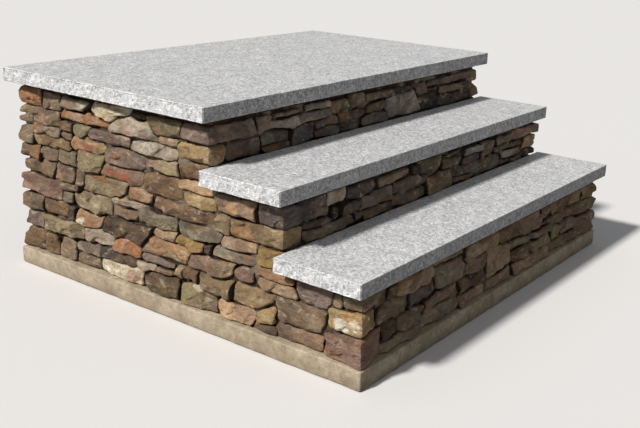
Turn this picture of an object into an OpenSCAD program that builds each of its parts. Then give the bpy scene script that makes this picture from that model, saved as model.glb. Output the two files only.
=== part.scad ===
// Outdoor stone steps: a landing and two treads of granite slab on a stepped base
// that is faced with rubble walls, has toothed corner stones and stands on a footing.
// Millimetres, +Z up, the front looks along -Y.
// The origin lies on the ground, at the middle of the length and of the depth.

/* [Slabs] */
// Length of every slab, across the steps
slab_length = 1680; // [1300:10:2400]
// Thickness of every slab
slab_thick = 46; // [30:1:70]
// Depth of the landing slab
landing_depth = 910; // [760:10:1500]
// Going of the middle tread, from its nosing to the landing's nosing
middle_going = 280; // [240:1:340]
// Going of the bottom tread, from its nosing to the middle tread's nosing
bottom_going = 272; // [240:1:340]
// Bevel along the sawn edges of a slab
slab_arris = 3; // [1:0.5:6]

/* [Rises] */
// Rise from the middle tread to the landing
landing_rise = 182; // [150:1:220]
// Rise from the bottom tread to the middle tread
middle_rise = 188; // [150:1:220]
// Rise from the top of the footing to the bottom tread
bottom_rise = 260; // [180:1:320]

/* [Overhangs] */
// Reach of each slab past the wall in front
front_overhang = 20; // [16:1:40]
// Reach of each slab past the walls at its ends
side_overhang = 45; // [20:1:70]
// Reach of the landing slab past the back wall
back_overhang = 20; // [16:1:40]

/* [Walls] */
// Thickness of the facing walls
wall_thick = 110; // [80:5:160]
// Courses of stone on top of each other in one lift
courses = 3; // [2:1:4]
// Mean length of the stones in a course
stone_length = 150; // [110:5:260]
// Share of that length by which an upright joint strays from even spacing
length_stray = 0.3; // [0:0.05:0.35]
// Most that the face of a stone lies behind the face of its wall
face_stray = 6; // [0:1:8]

/* [Corner stones] */
// Long side of a corner stone, along one wall
quoin_long = 210; // [170:5:340]

/* [Joints] */
// Width of the joints between stones
joint_width = 10; // [4:1:14]
// Depth to which every joint is raked back from the faces of its stones
joint_rake = 16; // [10:1:28]
// Bevel along the edges of a stone's face
stone_bevel = 6; // [2:1:9]
// Thickness of the mortar bed under each slab
bed_thick = 12; // [6:1:20]
// Depth to which that bed is raked back from the wall faces
bed_rake = 16; // [10:1:28]

/* [Footing] */
// Height of the footing above the lowest ground
footing_height = 60; // [40:5:150]
// Reach of the footing past the walls
footing_proud = 15; // [5:1:16]

/* [Hidden] */
// Depth of the whole flight and where each nosing lies on it
total_depth = landing_depth + middle_going + bottom_going;
back_y = total_depth / 2;
landing_nose_y = back_y - landing_depth;
middle_nose_y = landing_nose_y - middle_going;
bottom_nose_y = middle_nose_y - bottom_going;

// Top of each slab
bottom_top_z = footing_height + bottom_rise;
middle_top_z = bottom_top_z + middle_rise;
landing_top_z = middle_top_z + landing_rise;

// A lift is the masonry from one level bed to the next, listed from the lowest up
slab_and_bed = slab_thick + bed_thick;
level_z = [
    footing_height,
    bottom_top_z - slab_and_bed,
    middle_top_z - slab_and_bed,
    landing_top_z - slab_and_bed
];
lift_face_y = [
    bottom_nose_y + front_overhang,
    middle_nose_y + front_overhang,
    landing_nose_y + front_overhang
];
side_x = slab_length / 2 - side_overhang;
back_face_y = back_y - back_overhang;

// The stones of a wall end half way into its backing
stone_end_y = (joint_rake + wall_thick) / 2;
// Degrees by which the wave of the upright joints turns from stone to stone in the
// lowest course, and by how many more in each course above
wave_turn = 100;
wave_change = 55;

LOWER = 0;
MIDDLE = 1;
UPPER = 2;

granite_grey = [0.78, 0.78, 0.79];
stone_brown = [0.50, 0.41, 0.32];
quoin_tan = [0.60, 0.50, 0.38];
mortar_grey = [0.33, 0.30, 0.27];
concrete_grey = [0.66, 0.62, 0.54];
core_grey = [0.55, 0.53, 0.50];

function lift_height(lift) = level_z[lift + 1] - level_z[lift];
function course_height(lift) = lift_height(lift) / courses;
function lift_depth(lift) = back_face_y - lift_face_y[lift];

// In even courses a corner stone lies long side to the front or back wall,
// in odd courses long side to the side wall
function reach_along_x(course) = course % 2 == 0 ? quoin_long : wall_thick;
function reach_along_y(course) = course % 2 == 0 ? wall_thick : quoin_long;

// A sawn slab, its corner at the origin, with an arris along every edge
module sawn_slab(length, depth) {
    a = slab_arris;
    intersection() {
        linear_extrude(slab_thick) cut_corner_rectangle(length, depth, a);
        translate([0, depth, 0]) rotate([90, 0, 0])
            linear_extrude(depth) cut_corner_rectangle(length, slab_thick, a);
        rotate([90, 0, 90])
            linear_extrude(length) cut_corner_rectangle(depth, slab_thick, a);
    }
}

module cut_corner_rectangle(width, height, cut) {
    polygon([
        [cut, 0], [width - cut, 0],
        [width, cut], [width, height - cut],
        [width - cut, height], [cut, height],
        [0, height - cut], [0, cut]
    ]);
}

// A slab whose nosing is at nose_y and which runs back to end_y
module placed_slab(nose_y, end_y, top_z) {
    translate([-slab_length / 2, nose_y, top_z - slab_thick])
        sawn_slab(slab_length, end_y - nose_y);
}

module landing_slab() {
    color(granite_grey) placed_slab(landing_nose_y, back_y, landing_top_z);
}

// Each tread runs back to the face of the wall that stands behind it
module middle_tread() {
    color(granite_grey) placed_slab(middle_nose_y, lift_face_y[UPPER], middle_top_z);
}

module bottom_tread() {
    color(granite_grey) placed_slab(bottom_nose_y, lift_face_y[MIDDLE], bottom_top_z);
}

// The mortar bed on top of a lift, raked back from its open faces
module mortar_bed(lift, end_y) {
    start_y = lift_face_y[lift] + bed_rake;
    half_x = side_x - bed_rake;
    color(mortar_grey)
        translate([-half_x, start_y, level_z[lift + 1]])
            cube([2 * half_x, end_y - start_y, bed_thick]);
}

module landing_bed() { mortar_bed(UPPER, back_face_y - bed_rake); }
module middle_bed() { mortar_bed(MIDDLE, lift_face_y[UPPER]); }
module bottom_bed() { mortar_bed(LOWER, lift_face_y[MIDDLE]); }

// The upright joints along a run of stones, the same from both of its ends. They
// stray from even spacing by a wave that turns by so many degrees a stone.
function upright_joints(run, turn) =
    let (count = max(1, round(run / stone_length)))
    [
        for (k = [0:count])
            let (stray = k % count == 0 ? 0 : length_stray * sin(turn * (k - count / 2)))
            run * (k + stray) / count
    ];

// How far behind the wall's face the face of stone k lies, of count stones
function face_depth(k, count, row) = face_stray * ((min(k, count - 1 - k) + row) % 3) / 2;

// One stone in plan, with its face towards -Y and bevels beside the face
module stone_plan(from_x, to_x, face_y) {
    bevel = min(stone_bevel, (joint_rake - face_y) / 2);
    polygon([
        [from_x + bevel, face_y], [to_x - bevel, face_y],
        [to_x, face_y + bevel], [to_x, stone_end_y],
        [from_x, stone_end_y], [from_x, face_y + bevel]
    ]);
}

// The stones of a course in plan, from the first upright joint to the last
module course_plan(length, start, row) {
    joints = upright_joints(length - 2 * start - joint_width, wave_turn + wave_change * row);
    count = len(joints) - 1;
    for (k = [0:count - 1])
        stone_plan(
            start + joints[k] + joint_width,
            start + joints[k + 1],
            face_depth(k, count, row)
        );
}

// The stones of a course in section, between half a joint below and half a joint above
module course_section(height) {
    low = joint_width / 2;
    high = height - low;
    polygon([
        [stone_bevel, low], [stone_end_y, low], [stone_end_y, high],
        [stone_bevel, high], [0, high - stone_bevel], [0, low + stone_bevel]
    ]);
}

// The backing of a wall behind the raked joints, its two ends toothed to take the
// corner stones. starts holds, for each course, how far the corner stone reaches
// into the wall from the corner of the lift.
module toothed_backing(length, lift, starts) {
    height = course_height(lift);
    left_edge = [
        for (i = [0:courses - 1], step = [0, 1]) [starts[i], (i + step) * height]
    ];
    right_edge = [
        for (i = [courses - 1:-1:0], step = [1, 0])
            [length - starts[i], (i + step) * height]
    ];
    translate([0, wall_thick, 0]) rotate([90, 0, 0])
        linear_extrude(wall_thick - joint_rake) polygon(concat(left_edge, right_edge));
}

// A wall with its outer face at Y = 0: length along X, height along Z
module facing_wall(length, lift, starts) {
    height = course_height(lift);
    toothed_backing(length, lift, starts);
    for (i = [0:courses - 1])
        translate([0, 0, i * height]) intersection() {
            linear_extrude(height) course_plan(length, starts[i], lift * courses + i);
            rotate([90, 0, 90]) linear_extrude(length) course_section(height);
        }
}

// Front walls run along X between the side faces
module front_wall(lift) {
    starts = [for (i = [0:courses - 1]) reach_along_x(i)];
    color(stone_brown)
        translate([-side_x, lift_face_y[lift], level_z[lift]])
            facing_wall(2 * side_x, lift, starts);
}

// Back walls are the same, turned to face away from the front
module back_wall(lift) {
    starts = [for (i = [0:courses - 1]) reach_along_x(i)];
    color(stone_brown)
        translate([-side_x, back_face_y, level_z[lift]]) mirror([0, 1, 0])
            facing_wall(2 * side_x, lift, starts);
}

// Side walls run along Y from the front face to the back face
module side_wall(lift) {
    starts = [for (i = [0:courses - 1]) reach_along_y(i)];
    color(stone_brown)
        translate([side_x, lift_face_y[lift], level_z[lift]]) rotate([0, 0, 90])
            facing_wall(lift_depth(lift), lift, starts);
}

module upper_front_wall() { front_wall(UPPER); }
module middle_front_wall() { front_wall(MIDDLE); }
module lower_front_wall() { front_wall(LOWER); }

module upper_back_wall() { back_wall(UPPER); }
module middle_back_wall() { back_wall(MIDDLE); }
module lower_back_wall() { back_wall(LOWER); }

module upper_right_wall() { side_wall(UPPER); }
module middle_right_wall() { side_wall(MIDDLE); }
module lower_right_wall() { side_wall(LOWER); }

module upper_left_wall() { mirror([1, 0, 0]) side_wall(UPPER); }
module middle_left_wall() { mirror([1, 0, 0]) side_wall(MIDDLE); }
module lower_left_wall() { mirror([1, 0, 0]) side_wall(LOWER); }

// One corner stone with its outer corner at the origin. The faces at X = 0 and
// Y = 0 are outer faces, and the edges around them are bevelled.
module corner_stone(size_x, size_y, height) {
    b = min(stone_bevel, height / 3);
    intersection() {
        linear_extrude(height)
            polygon([
                [b, 0], [size_x - b, 0], [size_x, b], [size_x, size_y],
                [b, size_y], [0, size_y - b], [0, b]
            ]);
        translate([0, size_y, 0]) rotate([90, 0, 0])
            linear_extrude(size_y) outer_edge_profile(size_x, height, b);
        rotate([90, 0, 90])
            linear_extrude(size_x) outer_edge_profile(size_y, height, b);
    }
}

// A rectangle whose two corners on the outer face are cut
module outer_edge_profile(width, height, cut) {
    polygon([
        [cut, 0], [width, 0], [width, height],
        [cut, height], [0, height - cut], [0, cut]
    ]);
}

// The mortared heart of a corner along X, behind the raked joints. In each course it
// reaches as far as the corner stone, and so it is toothed.
module toothed_heart(lift, reaches) {
    height = course_height(lift);
    toothed_end = [
        for (i = [0:courses - 1], step = [0, 1]) [reaches[i], (i + step) * height]
    ];
    translate([0, wall_thick, 0]) rotate([90, 0, 0])
        linear_extrude(wall_thick - joint_rake)
            polygon(concat([[joint_rake, courses * height], [joint_rake, 0]], toothed_end));
}

// The corner stones of one lift, long and short sides in turn, around their hearts
module quoin_stack(lift) {
    height = course_height(lift);
    along_x = [for (i = [0:courses - 1]) reach_along_x(i)];
    along_y = [for (i = [0:courses - 1]) reach_along_y(i)];
    toothed_heart(lift, along_x);
    mirror([1, -1, 0]) toothed_heart(lift, along_y);
    for (i = [0:courses - 1])
        translate([0, 0, i * height + joint_width / 2])
            corner_stone(along_x[i], along_y[i], height - joint_width);
}

module front_left_stack(lift) {
    color(quoin_tan)
        translate([-side_x, lift_face_y[lift], level_z[lift]]) quoin_stack(lift);
}

module back_left_stack(lift) {
    color(quoin_tan)
        translate([-side_x, back_face_y, level_z[lift]])
            mirror([0, 1, 0]) quoin_stack(lift);
}

module upper_front_left_quoins() { front_left_stack(UPPER); }
module middle_front_left_quoins() { front_left_stack(MIDDLE); }
module lower_front_left_quoins() { front_left_stack(LOWER); }

module upper_front_right_quoins() { mirror([1, 0, 0]) front_left_stack(UPPER); }
module middle_front_right_quoins() { mirror([1, 0, 0]) front_left_stack(MIDDLE); }
module lower_front_right_quoins() { mirror([1, 0, 0]) front_left_stack(LOWER); }

module upper_back_left_quoins() { back_left_stack(UPPER); }
module middle_back_left_quoins() { back_left_stack(MIDDLE); }
module lower_back_left_quoins() { back_left_stack(LOWER); }

module upper_back_right_quoins() { mirror([1, 0, 0]) back_left_stack(UPPER); }
module middle_back_right_quoins() { mirror([1, 0, 0]) back_left_stack(MIDDLE); }
module lower_back_right_quoins() { mirror([1, 0, 0]) back_left_stack(LOWER); }

// The packed rubble core between the four walls of a lift
module core(lift) {
    half_x = side_x - wall_thick;
    start_y = lift_face_y[lift] + wall_thick;
    depth = lift_depth(lift) - 2 * wall_thick;
    color(core_grey)
        translate([-half_x, start_y, level_z[lift]])
            cube([2 * half_x, depth, lift_height(lift)]);
}

module upper_core() { core(UPPER); }
module middle_core() { core(MIDDLE); }
module lower_core() { core(LOWER); }

// The cast footing under the whole lower lift
module footing() {
    half_x = side_x + footing_proud;
    start_y = lift_face_y[LOWER] - footing_proud;
    end_y = back_face_y + footing_proud;
    color(concrete_grey)
        translate([-half_x, start_y, 0])
            cube([2 * half_x, end_y - start_y, footing_height]);
}

landing_slab();
middle_tread();
bottom_tread();
landing_bed();
middle_bed();
bottom_bed();
upper_front_wall();
middle_front_wall();
lower_front_wall();
upper_left_wall();
middle_left_wall();
lower_left_wall();
upper_right_wall();
middle_right_wall();
lower_right_wall();
upper_back_wall();
middle_back_wall();
lower_back_wall();
upper_front_left_quoins();
middle_front_left_quoins();
lower_front_left_quoins();
upper_front_right_quoins();
middle_front_right_quoins();
lower_front_right_quoins();
upper_back_left_quoins();
middle_back_left_quoins();
lower_back_left_quoins();
upper_back_right_quoins();
middle_back_right_quoins();
lower_back_right_quoins();
upper_core();
middle_core();
lower_core();
footing();
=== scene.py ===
import math

import bpy
import numpy as np
from mathutils import Matrix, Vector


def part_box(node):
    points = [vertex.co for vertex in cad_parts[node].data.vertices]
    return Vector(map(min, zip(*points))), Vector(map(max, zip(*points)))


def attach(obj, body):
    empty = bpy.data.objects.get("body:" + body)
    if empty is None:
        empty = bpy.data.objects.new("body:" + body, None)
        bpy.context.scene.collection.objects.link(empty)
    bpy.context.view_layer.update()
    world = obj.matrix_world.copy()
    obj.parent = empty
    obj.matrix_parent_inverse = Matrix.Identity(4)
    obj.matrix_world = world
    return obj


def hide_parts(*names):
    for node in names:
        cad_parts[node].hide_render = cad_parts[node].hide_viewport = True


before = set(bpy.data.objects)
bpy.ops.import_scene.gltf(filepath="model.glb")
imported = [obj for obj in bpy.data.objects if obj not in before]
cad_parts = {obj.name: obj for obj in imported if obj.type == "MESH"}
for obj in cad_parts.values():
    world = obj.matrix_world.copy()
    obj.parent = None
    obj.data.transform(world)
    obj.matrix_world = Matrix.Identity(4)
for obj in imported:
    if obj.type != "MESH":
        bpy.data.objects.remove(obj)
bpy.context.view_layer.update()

# The masonry is set out in millimetres on its outer faces. A place on a face is s, along the face
# from its left end as seen from outside, and v, the height above the ground.
HALF_LENGTH = 795
BACK = 711
# Each lift's front face, bottom and top.
LIFTS = {"lower": (-711, 60, 262), "middle": (-439, 262, 450), "upper": (-159, 450, 632)}
JOINT = 4.5  # a joint's mean width
GROW = 15.0  # how far a stone may grow past its listed box to meet its joints
FACE_LIMITS = (-19, 9)  # how far a stone's face may lie behind and before the wall's face
STONE_DEPTH = 38.0  # from the wall's face to a stone's flat back
RAKE = (9.0, 30.0)  # the least and the greatest depth of the mortar in the joints
FILL_DEPTH = 110.0  # from the wall's face to the back of that mortar
FILL_INSET = 16  # how far that mortar stops short of a corner
FILL_PITCH = (7.5, 7.0)  # between the points of that mortar's front
CORNER_BEND = 60  # how far from a corner its stones' relief moves them round it
CORNER_REACH = 420  # how far from a corner the walls' stones are cut against the corner's own
OVERLAP = 60  # how far a corner stone's box on one face runs past the corner
STONE_PITCH = (5.5, 5.0)  # between the points of a stone's face
PLANE_AREA = 1500  # mm2 of a stone's face for each plane that it splits into
BRIGHTEST = 0.58  # the highest linear red, green or blue of a stone
ENDLESS = 1e6

# Stone tones, as sRGB: the main tone and the one that clouds it.
UMBER = ((98, 81, 64), (78, 64, 52))
BROWN = ((134, 109, 82), (116, 92, 70))
TAUPE = ((142, 122, 99), (120, 101, 82))
DUSK = ((128, 111, 93), (142, 124, 104))
SLATE = ((112, 103, 98), (94, 84, 79))
MAUVE = ((142, 123, 112), (122, 104, 94))
ROSY = ((152, 128, 109), (134, 110, 92))
ROSE = ((156, 129, 112), (140, 112, 97))
RUST = ((158, 122, 94), (166, 120, 86))
SALMON = ((184, 148, 116), (168, 126, 94))
BLUSH = ((182, 157, 131), (160, 134, 108))
TAN = ((166, 142, 107), (146, 122, 90))
SAND = ((190, 164, 122), (170, 141, 100))
OLIVE = ((146, 130, 98), (126, 109, 83))
KHAKI = ((160, 144, 115), (138, 121, 94))
OCHRE = ((168, 141, 88), (148, 120, 74))
MOSS = ((142, 134, 112), (120, 110, 92))
ASH = ((158, 146, 127), (134, 121, 103))
CHALK = ((196, 183, 164), (170, 155, 136))
CREAM = ((202, 183, 147), (222, 206, 175))
HONEY = ((214, 178, 140), (196, 162, 124))
BARK = ((114, 94, 74), (96, 79, 63))
SOOT = ((88, 79, 73), (72, 64, 59))

# What stains a plane of a stone, and how light it makes it: iron, lime, soot and lichen.
STAINS = [((170, 122, 82), 1.0), ((206, 190, 166), 1.34), ((98, 80, 68), 0.62), ((136, 128, 92), 1.0)]

# Weathering that spreads over the stones: size of its patches in mm, noise where it starts and where
# it is full, share, and tone.
PATCHES = [(90, 0.5, 0.62, 0.45, (152, 121, 88)), (54, 0.57, 0.66, 0.3, (168, 118, 86)),
           (44, 0.57, 0.67, 0.5, (212, 192, 168)), (40, 0.56, 0.66, 0.45, (86, 66, 55))]

# Marks that single stones of the left wall carry: middle (mm from the back, and up), half width,
# half height, and colour: white veins, iron-red ends, a lichen patch and one painted highlight.
MARKS_AND_HIGHLIGHT = [
    (408, 88, 16, 28, (238, 228, 208)), (470, 84, 13, 26, (232, 216, 192)),
    (502, 92, 9, 20, (226, 206, 180)), (545, 92, 30, 26, (188, 152, 126)),
    (296, 216, 17, 13, (236, 224, 204)), (554, 172, 18, 14, (184, 126, 88)),
    # The pale mark at 556 along and 562 up is a painted highlight on that stone's face.
    (470, 464, 17, 13, (152, 104, 78)), (556, 562, 34, 13, (220, 198, 182)),
    (350, 476, 36, 10, (172, 114, 84)), (518, 408, 32, 12, (170, 102, 76)),
    (450, 412, 26, 12, (146, 94, 76)), (826, 127, 30, 8, (218, 200, 168)),
    (1361, 170, 22, 23, (252, 246, 228)), (1398, 178, 24, 13, (250, 238, 208)),
]

# Each stone: start, end, bottom, top, tone, then how far its left end, its right end and its bed
# lean: an end by so many mm over the stone's height, the bed by so many over its length.
LEFT_STONES = [
    (102, 172, 62, 132, BROWN), (177, 256, 62, 134, DUSK), (262, 370, 62, 98, TAUPE),
    (262, 380, 102, 148, ASH), (386, 582, 62, 116, CREAM), (386, 552, 120, 150, SOOT),
    (587, 738, 62, 125, BARK), (557, 640, 128, 148, CHALK), (644, 722, 129, 149, ROSY),
    (752, 898, 62, 133, KHAKI, 8, -10), (904, 1041, 62, 119, HONEY, 10, 22),
    # The thin stone from 1044 to 1128 takes the dark bark tone as painted shade under the stone above it.
    (1058, 1126, 92, 130, SAND, 0, 0, 18), (1044, 1128, 62, 84, BARK),
    (1130, 1298, 70, 108, ROSY), (92, 300, 141, 199, KHAKI, 0, -8),
    (310, 441, 153, 201, CHALK, 0, 22), (457, 570, 155, 197, RUST), (574, 725, 153, 176, MAUVE),
    (604, 784, 181, 238, BLUSH, 46, 0), (727, 760, 137, 173, TAN), (764, 825, 137, 179, BROWN),
    (830, 957, 121, 178, OLIVE, -14, 0), (963, 1100, 123, 185, TAN, 0, 50),
    (1128, 1295, 112, 186, TAUPE, -10, 26), (102, 230, 204, 256, BROWN), (235, 266, 206, 256, UMBER),
    (270, 390, 208, 252, SALMON, 0, 18), (402, 600, 205, 265, UMBER, 0, 46),
    (636, 728, 243, 274, BLUSH), (732, 850, 238, 270, OCHRE),
    (854, 881, 240, 276, UMBER), (788, 950, 182, 236, ROSY, 0, 34),
    (976, 1046, 190, 238, ROSE), (1048, 1200, 190, 222, BLUSH), (1052, 1186, 226, 260, SALMON),
    (1204, 1312, 190, 258, MAUVE, 0, 12), (1321, 1352, 216, 258, KHAKI),
    (200, 252, 262, 300, MOSS), (200, 290, 304, 336, TAUPE), (258, 448, 257, 316, KHAKI, -14, 0),
    (452, 560, 270, 306, ROSY), (450, 594, 310, 339, CHALK, 0, 48), (588, 728, 278, 326, MOSS, 44, 0),
    (748, 905, 274, 323, MOSS, 0, 28), (886, 1050, 242, 277, ASH, 10, 0),
    (924, 1050, 281, 316, BLUSH, 0, 0, 5), (1055, 1146, 265, 314, OCHRE),
    (98, 172, 336, 392, TAUPE), (176, 272, 340, 396, ROSE), (277, 312, 340, 392, TAUPE, -8, 0),
    (317, 504, 330, 392, KHAKI, 10, 40), (526, 628, 342, 374, SALMON), (632, 884, 328, 374, BROWN),
    (896, 942, 322, 374, KHAKI), (102, 182, 396, 436, TAUPE),
    (186, 280, 400, 440, MOSS), (285, 398, 397, 452, KHAKI, 0, 14),
    (410, 588, 394, 434, ROSY, 14, 0), (596, 754, 378, 448, BROWN, -10, -24),
    (768, 898, 376, 417, SAND, -14, 0), (743, 890, 420, 453, HONEY, 0, -10),
    (906, 1050, 381, 447, BLUSH),
    (64, 254, 441, 476, TAN), (64, 122, 480, 512, ROSY), (126, 204, 480, 508, ASH),
    (208, 254, 480, 500, MAUVE), (259, 406, 457, 493, SALMON, 0, 24),
    (432, 606, 440, 497, MAUVE, 4, -6), (612, 744, 456, 496, BLUSH),
    (748, 866, 458, 509, BROWN, 0, 0, 12), (62, 200, 516, 563, ROSY),
    (204, 262, 504, 540, BROWN), (268, 328, 498, 538, KHAKI, 0, 34),
    (356, 532, 500, 537, MAUVE, 12, 0), (536, 744, 501, 540, CHALK),
    (204, 432, 544, 576, SALMON), (472, 632, 545, 593, CHALK, 30, -44),
    (660, 744, 545, 561, BLUSH), (110, 208, 568, 628, DUSK),
    (213, 338, 581, 628, CHALK, 0, 24), (376, 522, 584, 628, CREAM, 16, 46),
    (550, 598, 600, 628, UMBER), (626, 760, 566, 628, OLIVE, -40, 0),
]

RISER_STONES = {
    "lower": [
        # The bottom course's stones from 105 to 1190 take pale ash and blush tones: partly their own colour
        # and partly painted light bounced up from the ground.
        (105, 178, 100, 150, UMBER), (105, 316, 62, 96, ASH), (182, 316, 100, 149, TAUPE),
        (82, 236, 154, 207, TAUPE), (240, 380, 154, 200, SLATE),
        (390, 566, 154, 236, ASH, -16, 0), (126, 176, 212, 258, UMBER),
        (180, 372, 206, 258, BLUSH), (320, 520, 117, 150, ROSY), (320, 530, 62, 113, ASH),
        (536, 712, 103, 149, BARK), (536, 712, 62, 99, BLUSH), (572, 706, 154, 202, TAUPE),
        (378, 550, 240, 258, BLUSH), (555, 778, 208, 258, BLUSH),
        (712, 876, 104, 204, BLUSH, 0, -40), (716, 905, 62, 100, ASH),
        (790, 955, 194, 258, BROWN, -22, 0), (888, 1012, 152, 186, ASH),
        (905, 1012, 106, 148, BROWN), (910, 1190, 62, 102, BLUSH), (962, 1106, 186, 258, DUSK),
        (1017, 1194, 107, 150, KHAKI), (1110, 1180, 210, 258, ROSY),
        (1020, 1190, 156, 182, MAUVE), (1110, 1190, 186, 206, UMBER), (1195, 1300, 162, 203, TAUPE),
        (1185, 1352, 208, 258, BROWN), (1198, 1288, 108, 157, KHAKI),
        (1194, 1436, 62, 104, TAUPE), (1293, 1436, 108, 158, MAUVE),
        (1305, 1458, 163, 204, BROWN), (1356, 1460, 208, 258, TAN),
    ],
    "middle": [
        (95, 218, 361, 384, SLATE), (96, 336, 326, 357, KHAKI), (207, 298, 403, 447, CREAM),
        (222, 258, 362, 398, SOOT), (263, 378, 362, 398, SLATE), (304, 452, 403, 447, SLATE),
        (340, 382, 326, 357, MAUVE), (384, 560, 352, 398, DUSK, -8, 0),
        (386, 560, 326, 348, TAUPE), (457, 652, 412, 447, BLUSH), (566, 750, 364, 407, ROSY),
        (566, 750, 326, 359, TAUPE), (657, 702, 411, 447, UMBER), (707, 856, 388, 447, OLIVE, -14, 0),
        (756, 942, 326, 384, TAN), (860, 996, 390, 423, TAUPE), (860, 998, 427, 447, OLIVE),
        (1003, 1130, 414, 447, CHALK), (1003, 1130, 383, 410, SLATE),
        (948, 1094, 344, 379, MAUVE), (948, 1094, 326, 340, TAUPE),
        (1135, 1236, 375, 447, ROSY), (1240, 1378, 407, 447, KHAKI),
        (1242, 1380, 378, 403, TAUPE), (1099, 1300, 326, 371, ASH), (1305, 1466, 344, 373, CHALK),
        (1305, 1474, 326, 340, TAUPE), (1384, 1466, 377, 402, BARK),
    ],
    "upper": [
        (76, 238, 514, 568, ROSY), (210, 280, 574, 628, BLUSH, -8, 8), (243, 366, 528, 567, MOSS),
        (243, 366, 513, 524, TAUPE), (296, 438, 603, 628, KHAKI), (286, 583, 570, 599, CHALK),
        (372, 498, 513, 565, SLATE), (442, 580, 603, 628, CHALK), (503, 632, 542, 566, ROSE),
        (503, 640, 513, 538, MOSS), (587, 684, 579, 628, KHAKI, -6, 0),
        (688, 792, 583, 628, TAN), (638, 788, 542, 578, TAUPE), (645, 764, 513, 538, SLATE),
        (797, 960, 592, 628, OLIVE), (793, 922, 550, 586, BROWN), (768, 922, 513, 546, DUSK),
        (965, 1086, 600, 628, UMBER), (927, 1130, 514, 595, CHALK, 0, -48),
        (1116, 1194, 574, 628, ROSY, -56, 0), (1162, 1285, 514, 569, SOOT, -16, 0),
        (1199, 1380, 592, 628, TAUPE), (1199, 1285, 573, 589, BARK),
        (1290, 1446, 558, 587, KHAKI), (1290, 1446, 514, 553, SLATE),
        (1386, 1538, 592, 628, ROSE), (1452, 1540, 514, 586, BARK),
    ],
}

# The middle and upper risers' stones are painted darker and greyer than the lower one's, as shares
# of linear red, green and blue: painted shade under the slabs.
RISER_PAINTED_SHADE = {"lower": (1.0, 1.0, 1.0), "middle": (0.68, 0.74, 0.84), "upper": (0.68, 0.74, 0.84)}

# Corner stones: how far they reach along each side of their corner, bottom, top, tone, and how far
# their bed leans.
FRONT_LEFT = {
    "lower": [(120, 100, 62, 140, ROSE, 20), (110, 70, 146, 210, SAND, 20),
              # The lower lift's top corner stone takes the darker taupe tone as painted shade under the
              # bottom tread.
              (66, 122, 216, 258, TAUPE, 0)],
    "middle": [(204, 92, 321, 376, TAN, 0), (95, 200, 382, 447, SLATE, 0)],
    "upper": [(122, 72, 513, 566, SAND, 8), (106, 205, 572, 628, MAUVE, 0)],
}
FRONT_RIGHT = {
    "lower": [(149, 105, 62, 141, ROSY, 0), (126, 180, 145, 203, KHAKI, 0),
              (124, 95, 208, 258, OLIVE, 0)],
    "middle": [(110, 96, 322, 350, UMBER, 0), (118, 190, 355, 402, BLUSH, 0),
               (206, 90, 406, 447, ROSE, 0)],
    "upper": [(46, 180, 513, 572, KHAKI, 0), (46, 100, 577, 628, OLIVE, 0)],
}
BACK_LEFT = [
    (170, 98, 62, 136, BROWN, 0), (90, 88, 141, 200, MAUVE, 0), (180, 98, 205, 262, TAUPE, 0),
    (96, 196, 267, 332, ROSE, 0), (175, 94, 336, 380, TAUPE, 0), (90, 98, 384, 436, TAUPE, 0),
    (150, 60, 440, 500, MAUVE, 0), (84, 58, 504, 532, MOSS, 0), (165, 58, 536, 566, KHAKI, 0),
    (95, 106, 570, 628, RUST, 0),
]
BACK_RIGHT = [
    (180, 96, 62, 138, BROWN, 0), (92, 176, 142, 202, OLIVE, 0), (190, 90, 206, 262, TAUPE, 0),
    (98, 165, 266, 330, SAND, 0), (172, 92, 334, 380, KHAKI, 0), (88, 180, 384, 436, ROSY, 0),
    (168, 96, 440, 500, BROWN, 0), (96, 150, 504, 532, ASH, 0), (180, 90, 536, 566, KHAKI, 0),
    (94, 170, 570, 628, TAN, 0),
]
UNSEEN_TONES = [BROWN, TAUPE, DUSK, MAUVE, ROSY, ROSE, RUST, SALMON, BLUSH, TAN,
                SAND, OLIVE, KHAKI, MOSS, ASH, CHALK, CREAM, UMBER, SLATE, OCHRE]


def linear(rgb):
    """sRGB 0-255 as linear 0-1."""
    c = np.array(rgb) / 255
    return np.where(c <= 0.04045, c / 12.92, ((c + 0.055) / 1.055) ** 2.4)


def lattice(ix, iy, iz, seed):
    """A fixed value from -1 to 1 for each point of a lattice."""
    h = (ix * 374761393 + iy * 668265263 + iz * 1103515245 + seed * 97531) & 0xFFFFFFFF
    h = ((h ^ (h >> 13)) * 1274126177) & 0xFFFFFFFF
    return ((h ^ (h >> 16)) & 0xFFFF) / 32767.5 - 1.0


def noise(p, size, seed=0, smooth=True):
    """Noise from -1 to 1 at points p (n, 3), with cells of one size."""
    q = p / size
    cell = np.floor(q).astype(np.int64)
    f = q - cell
    if smooth:
        f = f * f * (3 - 2 * f)
    total = np.zeros(len(q))
    for corner in range(8):
        d = np.array([corner & 1, corner >> 1 & 1, corner >> 2])
        total += np.where(d, f, 1 - f).prod(axis=1) * lattice(*(cell + d).T, seed)
    return total


def creased(p, size, seed=0):
    """The same without smoothing, so that it turns in creases."""
    return noise(p, size, seed, False)


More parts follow.
